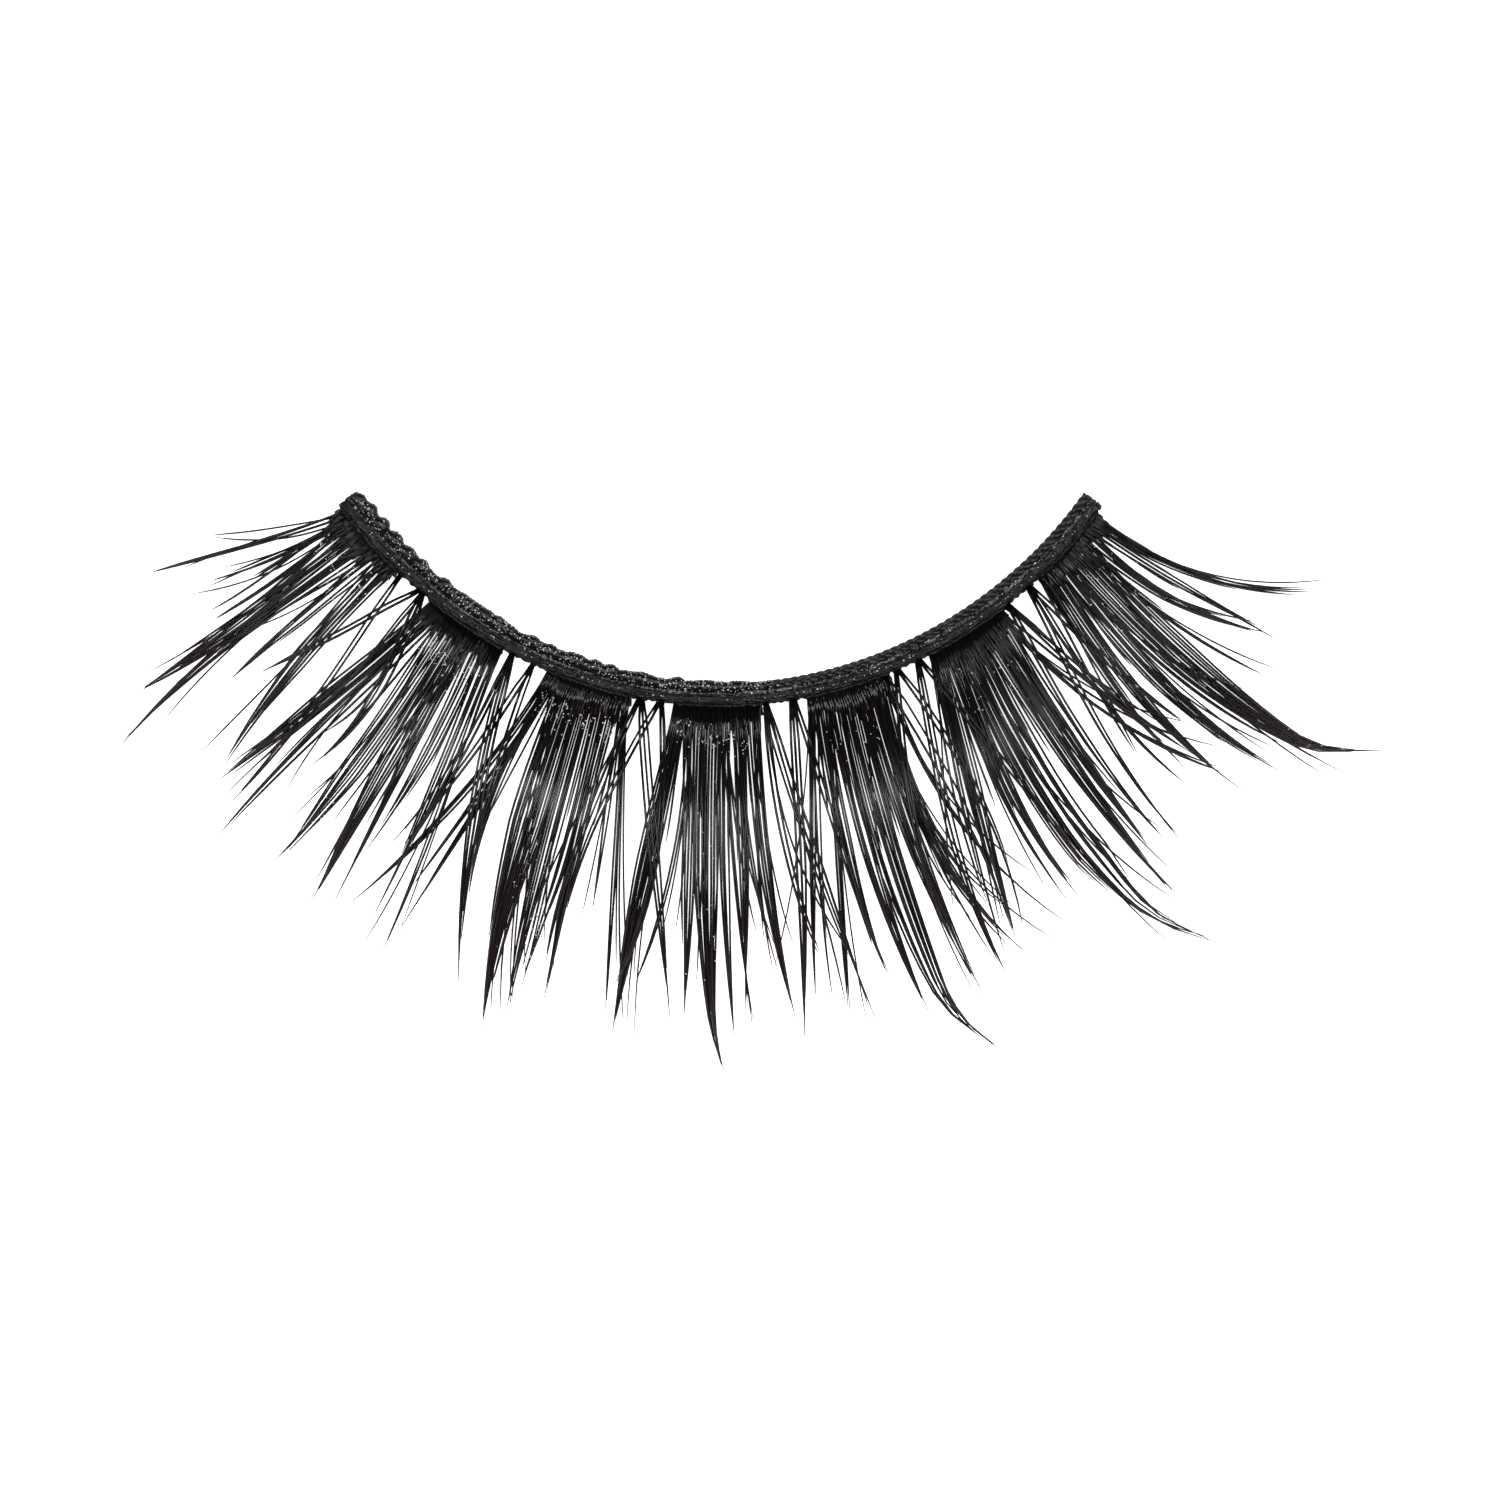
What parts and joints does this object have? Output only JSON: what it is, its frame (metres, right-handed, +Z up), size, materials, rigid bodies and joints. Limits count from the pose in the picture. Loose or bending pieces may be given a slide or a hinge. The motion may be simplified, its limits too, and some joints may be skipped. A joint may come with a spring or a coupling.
{
  "type": "false eyelash strip",
  "caption": "Curved false eyelash strip: a braided thread and flat root band hold clusters of tapering black fibres, longest towards the outer corner, with thin crossing fibres between them.",
  "frame": {"origin": "middle of the root strip's flat underside, the face that is glued to the eyelid", "axes": "+X towards the outer corner of the eye, +Y towards the eyelid, +Z up, out of the side that the fibres curl to"},
  "size_m": [0.0465, 0.0217, 0.0047],
  "materials": {
    "thread_band": "braided black cotton, satin",
    "root_strip": "smooth black, satin",
    "cluster_1": "black fibre, satin",
    "cluster_2": "black fibre, satin",
    "cluster_3": "black fibre, satin",
    "cluster_4": "black fibre, satin",
    "cluster_5": "black fibre, satin",
    "cluster_6": "black fibre, satin",
    "cluster_7": "black fibre, satin",
    "crossing_1": "black fibre, satin",
    "crossing_2": "black fibre, satin",
    "crossing_3": "black fibre, satin",
    "crossing_4": "black fibre, satin",
    "crossing_5": "black fibre, satin",
    "crossing_6": "black fibre, satin"
  },
  "bodies": {
    "root": {"thread_band": "thread_band", "root_strip": "root_strip", "cluster_1": "cluster_1", "cluster_2": "cluster_2", "cluster_3": "cluster_3", "cluster_4": "cluster_4", "cluster_5": "cluster_5", "cluster_6": "cluster_6", "cluster_7": "cluster_7", "crossing_1": "crossing_1", "crossing_2": "crossing_2", "crossing_3": "crossing_3", "crossing_4": "crossing_4", "crossing_5": "crossing_5", "crossing_6": "crossing_6"}
  },
  "joints": []
}
